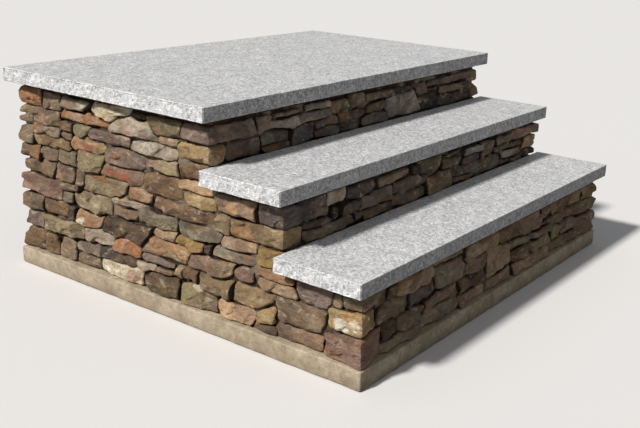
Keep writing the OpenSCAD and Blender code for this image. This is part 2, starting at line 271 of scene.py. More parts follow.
class Graph:
    """Short names for the shader nodes of a material or of the world."""

    def __init__(self, owner):
        owner.use_nodes = True
        self.owner = owner
        self.tree = owner.node_tree
        self.tree.nodes.clear()

    def feed(self, socket, value):
        """Links a socket to another one, or sets it to a constant."""
        if hasattr(value, "links"):
            self.tree.links.new(value, socket)
        else:
            socket.default_value = value

    def add(self, kind, inputs=None, output=0, **settings):
        """One output of a new node, whose inputs are fed by number or by name."""
        node = self.tree.nodes.new("ShaderNode" + kind)
        for key, value in settings.items():
            setattr(node, key, value)
        for key, value in (inputs or {}).items():
            self.feed(node.inputs[key], value)
        return node.outputs[output] if node.outputs else None

    def math(self, operation, a, b):
        return self.add("Math", {0: a, 1: b}, operation=operation)

    def vector(self, operation, a, b):
        return self.add("VectorMath", {0: a, 1: b}, operation=operation)

    def ramp(self, value, low, high, a=0.0, b=1.0):
        return self.add("MapRange", dict(enumerate((value, low, high, a, b))), clamp=True)

    def mix(self, factor, a, b, blend="MIX"):
        """Two colours mixed, each of them a socket or an sRGB colour."""
        a, b = (c if hasattr(c, "links") else (*linear(c), 1.0) for c in (a, b))
        return self.add("Mix", {0: factor, 6: a, 7: b}, 2, data_type="RGBA", blend_type=blend)

    def shade(self, colour, level):
        """The colour times a grey level."""
        grey = self.add("CombineColor", {0: level, 1: level, 2: level})
        return self.mix(1.0, colour, grey, "MULTIPLY")

    def noise(self, where, size, detail=3.0, rough=0.55, twist=0.0):
        """Noise whose main features are about size millimetres."""
        return self.add("TexNoise", {"Vector": where, "Scale": 1000 / size, "Detail": detail,
                                     "Roughness": rough, "Distortion": twist})

    def cells(self, where, size, output="Color", feature="F1"):
        return self.add("TexVoronoi", {"Vector": where, "Scale": 1000 / size}, output, feature=feature)

    def attribute(self, name):
        return self.add("Attribute", None, "Color", attribute_name=name)

    def split(self, colour):
        """A colour's three channels."""
        node = self.add("SeparateColor", {0: colour}).node
        return node.outputs[0], node.outputs[1], node.outputs[2]

    def seen(self, *rays):
        """1 for the named kinds of rays and 0 for the others."""
        path = self.add("LightPath").node.outputs
        level = path[rays[0]]
        for ray in rays[1:]:
            level = self.math("MAXIMUM", level, path[ray])
        return level


class Surface(Graph):
    """A new material."""

    def __init__(self, name):
        super().__init__(bpy.data.materials.new(name))
        self.place = self.add("TexCoord", None, "Object")

    def finish(self, colour, roughness, gloss, *relief):
        """The material with one shader. relief: (height, distance, strength), coarse to fine."""
        inputs = {"Base Color": colour, "Roughness": roughness, "Specular IOR Level": gloss}
        for height, distance, strength in relief:
            bump = {"Height": height, "Distance": distance, "Strength": strength}
            if "Normal" in inputs:
                bump["Normal"] = inputs["Normal"]
            inputs["Normal"] = self.add("Bump", bump)
        self.add("OutputMaterial", {0: self.add("BsdfPrincipled", inputs)})
        return self.owner


def rubble_material(name):
    g = Surface(name)
    edge, deep, seed = g.split(g.attribute("info"))
    move = g.add("CombineXYZ", {0: g.math("MULTIPLY", seed, 37.0), 2: g.math("MULTIPLY", seed, 91.0)})
    where = g.vector("ADD", g.place, move)
    bedded = g.vector("MULTIPLY", where, (1.0, 1.0, 1.8))
    clouds = g.ramp(g.noise(bedded, 58, 3.0, 0.6, 0.6), 0.4, 0.62)
    colour = g.mix(clouds, g.attribute("tone"), g.attribute("cloud"))
    # Weathering in patches that every stone shares, so that the wall reads as one quarry's stone.
    for size, low, high, most, patch in PATCHES:
        spread = g.noise(g.vector("ADD", bedded, (size * 1.7, size * 0.3, 0.0)), size, 5.0, 0.64, 0.5)
        colour = g.mix(g.ramp(spread, low, high, 0.0, most), colour, patch)
    vein = g.noise(bedded, 20, 4.0, 0.65, 0.8)
    colour = g.shade(colour, g.ramp(vein, 0.3, 0.72, 0.76, 1.24))
    fine = g.noise(where, 4.2, 4.0, 0.7)
    colour = g.shade(colour, g.ramp(fine, 0.25, 0.78, 0.8, 1.2))
    # Each face darkens within a few millimetres of its outline: painted shade at the joints.
    colour = g.mix(g.ramp(edge, 0.8, 1.0, 0.0, 0.16), colour, (88, 70, 56))
    # The stones' sides darken towards their back.
    colour = g.mix(g.ramp(deep, 0.05, 0.75, 0.0, 0.88), colour, (50, 41, 35))
    strata = g.noise(g.vector("MULTIPLY", where, (1.0, 1.0, 1.5)), 15, 5.0, 0.66, 0.4)
    return g.finish(colour, g.ramp(fine, 0.3, 0.7, 0.76, 0.96), 0.3,
                    (strata, 0.012, 0.9), (g.noise(where, 3.2, 4.0, 0.7), 0.002, 0.8))


def granite_material():
    g = Surface("granite_flamed")
    worn, hewn, sawn = g.split(g.attribute("info"))
    wobble = g.add("TexNoise", {"Vector": g.place, "Scale": 260.0}, 1)
    wobble = g.vector("SUBTRACT", wobble, (0.5, 0.5, 0.5))
    loose = g.vector("ADD", g.place, g.vector("MULTIPLY", wobble, (0.0024, 0.0024, 0.0024)))
    grain = g.split(g.cells(loose, 6.6))
    small = g.split(g.cells(loose, 2.8))
    honed = g.math("SUBTRACT", 1.0, g.math("MAXIMUM", hewn, sawn))
    clear = g.math("SUBTRACT", 0.78, g.math("MULTIPLY", honed, 0.08))
    colour = g.mix(grain[0], (202, 203, 206), (227, 227, 227))
    # White, grey and black crystals.
    for level, low, high, most, shade in ((grain[1], 0.72, 0.8, 1.0, (242, 241, 239)),
                                          (grain[2], 0.7, 0.8, 0.7, (150, 151, 156)),
                                          (small[0], 0.86, 0.9, 0.74, (70, 70, 76))):
        crystal = g.math("MULTIPLY", g.ramp(level, low, high, 0.0, most), clear)
        colour = g.mix(crystal, colour, shade)
    colour = g.shade(colour, g.ramp(g.noise(g.place, 42, 4.0, 0.62), 0.3, 0.7, 0.87, 1.1))
    blotch = g.ramp(g.noise(g.place, 13, 3.0, 0.6), 0.3, 0.72, 0.7, 1.3)
    colour = g.mix(g.ramp(sawn, 0.0, 1.0, 0.42, 1.0), colour, g.shade(colour, blotch))
    warm = g.ramp(g.noise(g.place, 170, 3.0, 0.6), 0.55, 0.75, 0.0, 0.1)
    colour = g.mix(warm, colour, (206, 198, 182))
    # The sawn front edge is darker than the honed top. The hewn ends and worn arrises are paler.
    colour = g.mix(g.math("MULTIPLY", sawn, 0.2), colour, (94, 89, 84))
    colour = g.shade(colour, g.ramp(sawn, 0.0, 1.0, 1.0, 0.78))
    colour = g.mix(g.math("MULTIPLY", hewn, 0.12), colour, (232, 231, 229))
    colour = g.mix(g.math("MULTIPLY", worn, 0.12), colour, (228, 227, 225))
    rough = g.math("SUBTRACT", g.ramp(grain[1], 0.0, 1.0, 0.66, 0.86), g.math("MULTIPLY", honed, 0.3))
    coarse = g.math("SUBTRACT", 0.9, g.math("MULTIPLY", honed, 0.65))
    return g.finish(colour, rough, 0.35, (g.noise(g.place, 9.0, 4.0, 0.62), 0.003, coarse),
                    (g.noise(g.place, 2.4, 3.0, 0.6), 0.0006, 0.5))


def mortar_material(name, raked):
    g = Surface(name)
    colour = g.mix(g.noise(g.place, 40, 4.0, 0.6), (50, 38, 30), (80, 64, 52))
    if raked:
        # It is paler where it lies nearly flush with the stones and keeps its dark tone where it lies deep:
        # partly the mortar's own colour and partly painted shade in the deep joints.
        pale = g.mix(g.noise(g.place, 34, 4.0, 0.6), (116, 101, 88), (150, 135, 118))
        uneven = g.math("MULTIPLY", g.math("SUBTRACT", g.noise(g.place, 16, 4.0, 0.6), 0.5), 0.5)
        depth = g.math("ADD", g.split(g.attribute("info"))[0], uneven)
        colour = g.mix(g.ramp(depth, 0.04, 0.4), pale, colour)
    colour = g.shade(colour, g.ramp(g.noise(g.place, 2.6, 4.0, 0.7), 0.3, 0.72, 0.7, 1.26))
    return g.finish(colour, g.ramp(g.noise(g.place, 6, 2.0), 0.3, 0.7, 0.88, 1.0), 0.2,
                    (g.noise(g.place, 5, 5.0, 0.7), 0.003, 0.9))


def concrete_material():
    g = Surface("concrete_cast")
    where = g.place
    base = g.ramp(g.noise(where, 90, 4.0, 0.6), 0.3, 0.7)
    colour = g.mix(base, (171, 156, 132), (196, 181, 157))
    colour = g.shade(colour, g.ramp(g.noise(where, 3.4, 4.0, 0.7), 0.3, 0.72, 0.7, 1.24))
    colour = g.shade(colour, g.ramp(g.noise(where, 24, 4.0, 0.6), 0.32, 0.68, 0.8, 1.14))
    damp = g.ramp(g.noise(where, 75, 4.0, 0.62), 0.52, 0.64, 0.0, 0.4)
    colour = g.mix(damp, colour, (128, 110, 92))
    pebble = g.ramp(g.split(g.cells(where, 11))[0], 0.86, 0.9, 0.0, 0.35)
    colour = g.mix(pebble, colour, (132, 118, 98))
    height = g.add("SeparateXYZ", {0: where}, 2)
    height = g.math("ADD", height, g.math("MULTIPLY", g.noise(where, 60, 4.0), 0.05))
    colour = g.mix(g.ramp(height, 0.062, 0.022, 0.0, 0.45), colour, (120, 100, 78))
    pits = g.ramp(g.cells(where, 17, "Distance"), 0.03, 0.12)
    colour = g.shade(colour, g.ramp(pits, 0.0, 1.0, 0.82, 1.0))
    return g.finish(colour, g.ramp(g.noise(where, 8, 2.0), 0.3, 0.7, 0.84, 0.98), 0.25,
                    (pits, 0.002, 0.7), (g.noise(where, 3.2, 5.0, 0.7), 0.0012, 0.8))


def core_material():
    g = Surface("core_rubble")
    seam = g.ramp(g.cells(g.place, 60, "Distance", "DISTANCE_TO_EDGE"), 0.0, 0.1, 1.0, 0.0)
    colour = g.mix(0.35, (150, 140, 124), g.cells(g.place, 60))
    colour = g.mix(seam, colour, (110, 102, 92))
    return g.finish(colour, 0.95, 0.5, (g.noise(g.place, 8, 4.0), 0.003, 0.8))


rubble = rubble_material("rubble_split")
corner_stone = rubble_material("corner_split")
granite = granite_material()
mortar = mortar_material("mortar_bed", False)
raked_mortar = mortar_material("mortar_raked", True)
concrete = concrete_material()
core = core_material()
for name in ("upper_core", "middle_core", "lower_core"):
    for slot in bpy.data.objects[name].material_slots:
        slot.material = core


def make_piece(name, points, faces, layers, material):
    """A piece from points in mm, with a colour for each point in each named layer."""
    me = bpy.data.meshes.new(name)
    me.from_pydata((points / 1000).tolist(), [], [tuple(map(int, face)) for face in faces])
    for label, values in layers.items():
        rgba = np.ones((len(points), 4), np.float32)
        rgba[:, :values.shape[1]] = values
        me.attributes.new(label, "FLOAT_COLOR", "POINT").data.foreach_set("color", rgba.ravel())
    me.materials.append(material)
    me.update()
    ob = bpy.data.objects.new(name, me)
    bpy.context.scene.collection.objects.link(ob)
    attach(ob, "root")
    return ob


def grid(nu, nv):
    """The numbers of nu by nv points, the faces between them, and the loop round them."""
    number = np.arange(nu * nv).reshape(nu, nv)
    quads = np.stack([number[:-1, :-1], number[1:, :-1], number[1:, 1:], number[:-1, 1:]], -1)
    loop = np.concatenate([number[:, 0], number[-1, 1:], number[::-1, -1][1:], number[0, ::-1][1:-1]])
    return number, quads.reshape(-1, 4).tolist(), loop


def band(first, second):
    """The faces between two loops of as many points."""
    return np.stack([first, second, np.roll(second, -1), np.roll(first, -1)], -1).tolist()


class Face:
    """A flat outer face. Its stones stand on floor and stop under ceilings, a list of
    (first s, height) from low to high s."""

    def __init__(self, origin, along, out, floor, ceilings):
        self.origin, self.along, self.out = np.array([origin, along, out], float)
        self.floor = floor
        self.ceilings = ceilings

    def shifted(self, by):
        """The same face with s counted from another point of it."""
        ceilings = [(first - by, height) for first, height in self.ceilings]
        return Face(self.origin + self.along * by, self.along, self.out, self.floor, ceilings)

    def ceiling(self, s):
        firsts, heights = np.array(self.ceilings, float).T
        return heights[np.maximum(np.searchsorted(firsts, s, side="right") - 1, 0)]

    def place(self, s, v, h):
        """The points (n, 3) that lie at s and v on the face and h out of it."""
        flat = self.origin + np.outer(s, self.along) + np.outer(h, self.out)
        return np.column_stack([flat, v])


class Corner:
    """Two faces that meet at s = 0: the one before it for s < 0 and the one after it for s > 0."""

    def __init__(self, before, after, length):
        self.before = before
        self.after = after
        self.length = length
        self.floor = max(before.floor, after.floor)

    def ceiling(self, s):
        a = np.abs(s)
        return np.where(s < 0, self.before.ceiling(self.length - a), self.after.ceiling(a))

    def place(self, s, v, h):
        a = np.abs(s)
        a = a - h * np.maximum(0, 1 - a / CORNER_BEND)
        first = self.before.place(self.length - a, v, h)
        second = self.after.place(a, v, h)
        return np.where((s < 0)[:, None], first, second)


FOOT = LIFTS["lower"][1]
LENGTH = 2 * HALF_LENGTH
LEFT_LENGTH = {lift: BACK - front for lift, (front, _, _) in LIFTS.items()}
RIGHT_START = {lift: front - LIFTS["lower"][0] for lift, (front, _, _) in LIFTS.items()}
SIDE = LEFT_LENGTH["lower"]
LOW, MIDDLE, HIGH = (top for _, _, top in LIFTS.values())
FACE = {
    "left": Face((-HALF_LENGTH, BACK), (0, -1), (-1, 0), FOOT,
                 [(-ENDLESS, HIGH), (LEFT_LENGTH["upper"], MIDDLE), (LEFT_LENGTH["middle"], LOW)]),
    "right": Face((HALF_LENGTH, LIFTS["lower"][0]), (0, 1), (1, 0), FOOT,
                  [(-ENDLESS, LOW), (RIGHT_START["middle"], MIDDLE), (RIGHT_START["upper"], HIGH)]),
    "back": Face((HALF_LENGTH, BACK), (-1, 0), (0, 1), FOOT, [(-ENDLESS, HIGH)]),
}
RISER_FLOORS = (FOOT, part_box("bottom_tread")[1][2] * 1000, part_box("middle_tread")[1][2] * 1000)
for (lift, (front, bottom, top)), floor in zip(LIFTS.items(), RISER_FLOORS):
    FACE[lift] = Face((-HALF_LENGTH, front), (1, 0), (0, -1), floor, [(-ENDLESS, top)])


NO_CUT = (0.0, 0.0, ENDLESS)


def leans(stone):
    """How far a listed stone's left end, right end and bed lean."""
    return (tuple(stone[5:]) + (0, 0, 0))[:3]


def knocked_corners(stone):
    """Four lines that cut a stone's corners off or miss it, as (normal in s, normal in v, offset)."""
    s0, s1, v0, v1 = stone[:4]
    left, right, bed = leans(stone)
    rng = np.random.default_rng(int(s0 * 7919 + v0 * 104729 + s1 * 31))
    width, height = s1 - s0, v1 - v0
    lines = []
    for end, lean, sx in ((s0, left, -1), (s1, right, 1)):
        for sy in (-1, 1):
            along = rng.uniform(8, max(9, min(46, 0.34 * width)))
            upward = rng.uniform(5, max(6, 0.44 * height))
            whole = rng.random() > 0.42 or width < 36 or height < 20
            leans_over = lean * sy * sx > 5
            on_footing = sy < 0 and v0 < FOOT + 8
            if whole or leans_over or on_footing:
                lines.append(NO_CUT)
                continue
            s = end + lean * sy / 2
            v = (v0 + v1) / 2 + sy * height / 2 + sx * bed / 2
            size = math.hypot(along, upward)
            nx, ny = sx * upward / size, sy * along / size
            lines.append((nx, ny, nx * s + ny * (v - sy * upward)))
    return lines


class Chart:
    """Stones that are cut against one another, in s and v, with the way to place them."""

    def __init__(self, shape, painted_shade=(1.0, 1.0, 1.0)):
        self.shape = shape
        self.painted_shade = np.array(painted_shade)
        self.rows = []
        self.cuts = []

    def add(self, s0, s1, v0, v1, left=0, right=0, bed=0, cuts=None, shift=0):
        self.rows.append((s0 + shift, s1 + shift, v0, v1, left, right, bed))
        self.cuts.append([(nx, ny, c + nx * shift) for nx, ny, c in cuts or [NO_CUT] * 4])
        return len(self.rows) - 1

    def add_all(self, stones, shift=0):
        """Adds listed stones, and gives back each one's chart, number and tone."""
        return [(self, self.add(*stone[:4], *leans(stone), knocked_corners(stone), shift), stone[4])
                for stone in stones]

    def near(self, index):
        """The stones around one stone, that stone itself first."""
        s0, s1, v0, v1 = np.array(self.rows).T[:4]
        close = (s0 < s1[index] + 60) & (s1 > s0[index] - 60)
        close &= (v0 < v1[index] + 50) & (v1 > v0[index] - 50)
        close[index] = False
        return [index] + list(np.nonzero(close)[0])

    def distance(self, q, which):
        """Signed distances (mm, less than 0 inside) from q (m, 2) to the outlines of some stones."""
        s0, s1, v0, v1, left, right, bed = np.array([self.rows[i] for i in which], float).T
        s = q[:, None, 0]
        v = q[:, None, 1] - bed * np.clip((s - (s0 + s1) / 2) / (s1 - s0), -0.6, 0.6)
        up = v - (v0 + v1) / 2
        rise = np.clip(up / (v1 - v0), -0.6, 0.6)
        ds = np.maximum(s0 + left * rise - s, s - s1 - right * rise)
        dv = np.abs(up) - (v1 - v0) / 2
        d = np.hypot(np.maximum(ds, 0), np.maximum(dv, 0)) + np.minimum(np.maximum(ds, dv), 0)
        lines = np.array([self.cuts[i] for i in which], float)
        for k in range(4):
            nx, ny, offset = lines[:, k].T
            d = np.maximum(d, s * nx + q[:, None, 1] * ny - offset)
        return d

    def warp(self, q):
        """Bends every joint a little, and alike for the stones on both sides of it."""
        p = self.shape.place(q[:, 0], q[:, 1], np.zeros(len(q)))
        ds = 4.4 * noise(p, 62, 11) + 2.6 * creased(p, 24, 12) + 1.3 * creased(p, 9, 19)
        dv = 3.8 * noise(p, 74, 13) + 2.0 * creased(p, 25, 14) + 1.1 * creased(p, 9, 20)
        return q + np.column_stack([ds, dv]), p


def reach(chart, which, starts, directions, limit, shift):
    """How far the stone which[0] goes from each start along its direction before its joint."""
    steps = np.arange(0, limit, 1.0)
    q = (starts[:, None, :] + directions[:, None, :] * steps[None, :, None]).reshape(-1, 2)
    warped, p = chart.warp(q)
    d = chart.distance(warped, which)
    own = d[:, 0]
    nearest = d[:, 1:].min(axis=1)
    joint = np.clip(JOINT + 7.0 * noise(p, 66, 15), 0.6, 12)
    own_place = p + shift
    joint = joint + 1.3 * np.maximum(noise(own_place, 22, 16), 0) + np.maximum(noise(own_place, 9, 17), 0)
    grow = GROW + 4.0 * noise(p, 90, 18)
    # The top stones stop short of the slab above them, each by its own few millimetres.
    gap = 1.5 + 11 * abs(math.sin(chart.rows[which[0]][0] * 12.9)) + 3.0 * creased(p, 17, 23)
    inside = (q[:, 1] > chart.shape.floor + 1) & (q[:, 1] < chart.shape.ceiling(q[:, 0]) - gap)
    ok = ((nearest - own > joint) & (own < grow) & inside).reshape(len(starts), len(steps))
    first_bad = np.argmin(np.column_stack([ok, np.zeros(len(ok), bool)]), axis=1)
    return np.maximum(first_bad - 1, 0) * 1.0


def resample(points, at):
    """Points along a polyline, at shares from 0 to 1 of its length."""
    gaps = np.hypot(*np.diff(points, axis=0).T)
    along = np.concatenate([[0], np.cumsum(gaps)])
    t = at * along[-1]
    return np.column_stack([np.interp(t, along, points[:, 0]), np.interp(t, along, points[:, 1])])


def spacing(length, pitch):
    """Positions from 0 to 1 across a length in mm, closer together near both ends."""
    edge = [0, 1.8, 4.5] if length < 26 else [0, 1.8, 4.2, 8.0]
    inner = length - 2 * edge[-1]
    count = max(1, int(round(inner / pitch)))
    middle = [edge[-1] + inner * k / count for k in range(1, count)]
    return np.array(edge + middle + [length - e for e in reversed(edge)]) / length


def outline(chart, index, shift):
    """The stone's four sides as polylines, all from low to high s or v."""
    s0, s1, v0, v1, left, right, bed = chart.rows[index]
    which = chart.near(index)
    width, half = s1 - s0, (v1 - v0) / 2
    mid = (v0 + v1) / 2
    cut = min(half * 0.8, 12.0)

    def level(s):
        """The height of the stone's leaning middle line."""
        return mid + bed * np.clip((s - (s0 + s1) / 2) / width, -0.6, 0.6)

    def grown(start, way, far):
        return start + way * reach(chart, which, start, way, far, shift)[:, None]

    count = max(4, int(width / 6))
    s = np.linspace(s0 + abs(left) / 2 + cut, s1 - abs(right) / 2 - cut, count)
    base = np.column_stack([s, level(s)])
    up = np.tile([0.0, 1.0], (count, 1))
    top = grown(base, up, half + GROW + 12)
    low = grown(base, -up, half + GROW + 12)
    rows = max(3, int(half / 3))
    rel = np.linspace(-1, 1, rows) * (half - cut)
    ends = []
    for end, lean, sign in ((s0, left, -1.0), (s1, right, 1.0)):
        inside = end - sign * min(0.5 * width, 0.6 * half + 24)
        start = np.column_stack([inside + lean * rel / (2 * half), level(inside) + rel])
        side = grown(start, np.tile([sign, 0.0], (rows, 1)), abs(end - inside) + GROW + 12)
        corners = []
        for tall in (-1.0, 1.0):
            begin = end - sign * min(0.5 * width, half + 4)
            begin = np.array([begin, level(begin)])
            aim = np.array([end + lean * tall / 2, level(end) + tall * half]) - begin
            far = np.linalg.norm(aim)
            corners.append(grown(begin[None], (aim / far)[None], far + GROW)[0])
        ends.append(np.vstack([corners[0], side, corners[1]]))
    before, after = ends
    return np.vstack([before[-1], top, after[-1]]), np.vstack([before[0], low, after[0]]), before, after


def stone_grid(chart, index, shift):
    """Points in s and v over a stone, its outline, and how far up each row of points is, 0 to 1."""
    top, low, before, after = outline(chart, index, shift)
    s0, s1, v0, v1 = chart.rows[index][:4]
    across = spacing(s1 - s0, STONE_PITCH[0])
    upward = spacing(v1 - v0, STONE_PITCH[1])
    if isinstance(chart.shape, Corner):
        # Three columns close together take the stone round the corner.
        turn = -s0 / (s1 - s0)
        step = 2.2 / (s1 - s0)
        across = across[np.abs(across - turn) > 2.2 * step]
        across = np.sort(np.concatenate([across, [turn - step, turn, turn + step]]))
    t, b = resample(top, across), resample(low, across)
    l, r = resample(before, upward), resample(after, upward)
    su, sv = across[:, None, None], upward[None, :, None]
    q = (1 - sv) * b[:, None] + sv * t[:, None] + (1 - su) * l[None] + su * r[None]
    q = q - ((1 - su) * (1 - sv) * b[0] + su * (1 - sv) * b[-1] + (1 - su) * sv * t[0] + su * sv * t[-1])
    return q.reshape(-1, 2), np.vstack([b, r[1:], t[::-1][1:], l[::-1][1:-1]]), upward


def to_edge(q, ring):
    """How far each point is from a closed line."""
    ab = np.roll(ring, -1, axis=0) - ring
    rel = q[:, None] - ring[None]
    k = np.clip((rel * ab).sum(2) / np.maximum((ab * ab).sum(1), 1e-9), 0, 1)
    return np.sqrt(((rel - k[..., None] * ab) ** 2).sum(2)).min(axis=1)


def split_planes(flat, x, y, width, height, rng):
    """The planes that a split face breaks into: each point's height and its share in each plane."""
    count = int(np.clip(round(width * height / PLANE_AREA), 3, 11))
    px = rng.uniform(-0.5, 0.5, count) * width
    py = rng.uniform(-0.5, 0.5, count) * height
    turn = rng.uniform(-0.45, 0.45)
    wx = x[:, None] - px + 6.0 * noise(flat, 23, 31)[:, None]
    wy = y[:, None] - py + 5.0 * noise(flat, 19, 32)[:, None]
    along = (math.cos(turn) * wx + math.sin(turn) * wy) / 1.7
    across = math.cos(turn) * wy - math.sin(turn) * wx
    far = np.hypot(along, across)
    share = np.exp(-(far - far.min(axis=1)[:, None]) / 1.8)
    share = share / share.sum(axis=1)[:, None]
    slope_x = rng.uniform(-0.24, 0.24, count)
    slope_y = rng.uniform(-0.42, 0.3, count)
    plane = rng.uniform(-3.0, 3.0, count) + slope_x * (x[:, None] - px) + slope_y * (y[:, None] - py)
    return (share * plane).sum(axis=1), share


def relief(flat, shift, x, y, width, height, edge, up, rng):
    """How far a split face stands out at each point, and each point's share in each plane."""
    place = flat + shift
    proud = rng.uniform(-7.0, 6.0)
    lean_x, lean_y = rng.uniform(-6.0, 6.0) / width, rng.uniform(-8.0, 4.0) / height
    planes, share = split_planes(place, x, y, width, height, rng)
    h = proud + lean_x * x + lean_y * y + planes
    # Pieces are knocked off towards the edges.
    facets = np.full(len(x), ENDLESS)
    for _ in range(rng.integers(3, 7)):
        turn = rng.uniform(0, 2 * math.pi)
        slope = rng.uniform(0.15, 0.8)
        away = rng.uniform(0.24, 0.5)
        dist = math.cos(turn) * x + math.sin(turn) * y
        start = away * (abs(math.cos(turn)) * width + abs(math.sin(turn)) * height)
        facets = np.minimum(facets, -slope * (dist - start))
    h = h + np.maximum(np.minimum(facets, 0), -10)
    # No face falls so far back that the joint mortar would cover it.
    h = np.where(h < -5, -5 + 0.4 * (h + 5), h)
    bedding = flat * np.array([1, 1, 2.4]) + shift
    h = h + 1.6 * creased(bedding, 44, 21) + 1.5 * creased(bedding, 20, 22) + 0.9 * creased(place, 11, 24)
    # The upper arris is broken back and catches the light, and the lower one is undercut.
    brow = np.clip(rng.uniform(2, 13) * (1 + 0.7 * noise(place, 40, 27)), 0, 0.3 * height)
    under = np.clip(rng.uniform(2, 10) * (1 + 0.7 * noise(place, 36, 28)), 0, 0.25 * height)
    h = h - rng.uniform(0.4, 0.9) * np.maximum(brow - (1 - up) * height, 0)
    h = h - rng.uniform(0.5, 1.0) * np.maximum(under - up * height, 0)
    worn = 2.6 + 2.6 * creased(place, 22, 25) + 1.4 * creased(place, 9, 26)
    worn = np.clip(worn, 0.6, min(8.0, height * 0.2))
    h = h - rng.uniform(0.7, 1.2) * np.maximum(worn - edge, 0)
    tip = np.clip(1 - edge / 1.6, 0, 1)
    h = h - 1.4 * (1 - np.sqrt(np.maximum(1 - tip * tip, 0)))
    return np.clip(h, *FACE_LIMITS), share


def paint(chart, tone, share, flat, rng):
    """A stone's colour at each point, and what its clouds multiply it by. Each plane takes its own
    mix of the stone's two tones, and now and then a stain. The stone keeps its mean tone."""
    # The chart's painted shade darkens and cools the middle and upper risers' stones.
    main, cloud = (linear(c) * chart.painted_shade for c in tone)
    shade = rng.uniform(0.94, 1.06)
    count = share.shape[1]
    blend = rng.uniform(0, 1, (count, 1))
    planes = (main * (1 - blend) + cloud * blend) * rng.uniform(0.76, 1.3, (count, 1))
    for plane in planes:
        stain = int(rng.random() / 0.06)
        if stain < len(STAINS):
            colour, level = STAINS[stain]
            other = linear(colour)
            plane += (other * main.mean() / other.mean() - plane) * rng.uniform(0.2, 0.6)
            plane *= level
        plane *= min(1.0, BRIGHTEST / plane.max())
    front = share @ planes
    front *= shade * (main + cloud).mean() / 2 / front.mean()
    on_left = flat[:, 0] < 5 - HALF_LENGTH
    if on_left.any():
        ragged = 0.45 * noise(flat, 15, 91) + 0.25 * noise(flat, 7, 92)
        for at, up, wide, tall, colour in MARKS_AND_HIGHLIGHT:
            far = np.hypot((BACK - flat[:, 1] - at) / wide, (flat[:, 2] - up) / tall) + ragged
            part = (np.clip((1.15 - far) / 0.3, 0, 1) * on_left)[:, None]
            front = front * (1 - part) + linear(colour) * part
    return front, (cloud + 0.5 * main) / (1.5 * main)


def cut_stone(chart, index, tone, rng):
    """One stone, with a split face and sides that go back: its points, its faces, and the tone, the
    clouds' tone and, at each point, its nearness to the face's outline for painted shade, the sides'
    darkening and the stone's seed."""
    shape = chart.shape
    shift = rng.uniform(0, 9000, 3)
    q, ring, upward = stone_grid(chart, index, shift)
    nv = len(upward)
    nu = len(q) // nv
    s0, s1, v0, v1 = chart.rows[index][:4]
    flat = shape.place(q[:, 0], q[:, 1], np.zeros(len(q)))
    x = q[:, 0] - (s0 + s1) / 2
    y = q[:, 1] - (v0 + v1) / 2
    edge = to_edge(q, ring)
    h, share = relief(flat, shift, x, y, s1 - s0, v1 - v0, edge, np.tile(upward, nu), rng)
    seed = rng.random()
    front, clouds = paint(chart, tone, share, flat, rng)
    number, faces, loop = grid(nu, nv)
    toward = number[np.clip(loop // nv, 1, nu - 2), np.clip(loop % nv, 1, nv - 2)]
    inward = q[toward] - q[loop]
    inward = inward / np.maximum(np.linalg.norm(inward, axis=1), 0.5)[:, None]
    near = np.clip(1 - edge / 11, 0, 1)
    points = [shape.place(q[:, 0], q[:, 1], h)]
    info = [np.column_stack([near, 0 * near, 0 * near + seed])]
    # Three rings lead back from the face, each drawn in a little further and darker.
    backs = (h[loop] - 4.0, np.minimum(h[loop] - 9.0, -26.0), np.full(len(loop), -STONE_DEPTH))
    last = loop
    for step, (pull, back, darkening) in enumerate(zip((0.9, 1.8, 4.0), backs, (0.7, 1.0, 1.0))):
        drawn_in = q[loop] + inward * pull
        points.append(shape.place(drawn_in[:, 0], drawn_in[:, 1], back))
        info.append(np.tile([0.3, darkening, seed], (len(loop), 1)))
        ring = len(q) + len(loop) * step + np.arange(len(loop))
        faces += band(last, ring)
        last = ring
    low_row = last[:nu]
    top_row = last[nu + nv - 2: 2 * nu + nv - 2][::-1]
    faces += np.stack([low_row[:-1], top_row[:-1], top_row[1:], low_row[1:]], -1).tolist()
    faces.append(np.concatenate([last[2 * nu + nv - 3:], last[:1]])[::-1])
    faces.append(last[nu - 1: nu + nv - 1][::-1])
    tones = np.vstack([front] + [front[loop]] * 3)
    return np.vstack(points), faces, tones, tones * clouds, np.vstack(info)


def lay(name, picked, seed, material):
    """Cuts the picked stones of their charts into one piece. A stone's draws depend on its place."""
    faces = []
    parts = []
    count = 0
    for chart, index, tone in picked:
        place = (int(abs(k)) for k in chart.rows[index][:3])
        points, own_faces, *layers = cut_stone(chart, index, tone, np.random.default_rng([seed, *place]))
        faces += [[i + count for i in face] for face in own_faces]
        parts.append((points, *layers))
        count += len(points)
    points, tones, clouds, info = (np.vstack(part) for part in zip(*parts))
    return make_piece(name, points, faces, {"tone": tones, "cloud": clouds, "info": info}, material)


def courses(rows, length, seed):
    """Coursed rubble for an unseen face. Each row has its start, its stop, and the heights of its
    two lines at either end of the face."""
    rng = np.random.default_rng(seed)
    stones = []
    for s, stop, (l0, l1), (r0, r1) in rows:
        height = l1 - l0
        while s < stop - 1:
            long = rng.uniform(1.5, 4.4) * height if height > 40 else rng.uniform(3.0, 6.5) * height
            end = s + min(max(long, 60), 250)
            if stop - end < 70:
                end = stop
            if end - s > 300:
                end = s + (end - s) / 2
            middle = (s + end) / 2 / length
            low = l0 + (r0 - l0) * middle + rng.uniform(-2, 2)
            high = l1 + (r1 - l1) * middle + rng.uniform(-2, 2)
            a, b = s + 2, end - 2
            if b - a > 80:
                # A spare draw, which the stones that follow count on.
                rng.choice(7)
            bed = rng.uniform(-4, 4)
            beds = [(low, high)]
            if high - low > 46 and rng.random() < 0.26:
                split = low + (high - low) * rng.uniform(0.38, 0.62)
                beds = [(low, split - 2), (split + 2, high)]
            for bottom, top in beds:
                stones.append((a, b, bottom, top, UNSEEN_TONES[rng.integers(len(UNSEEN_TONES))], 0, 0, bed))
            s = end
    return stones


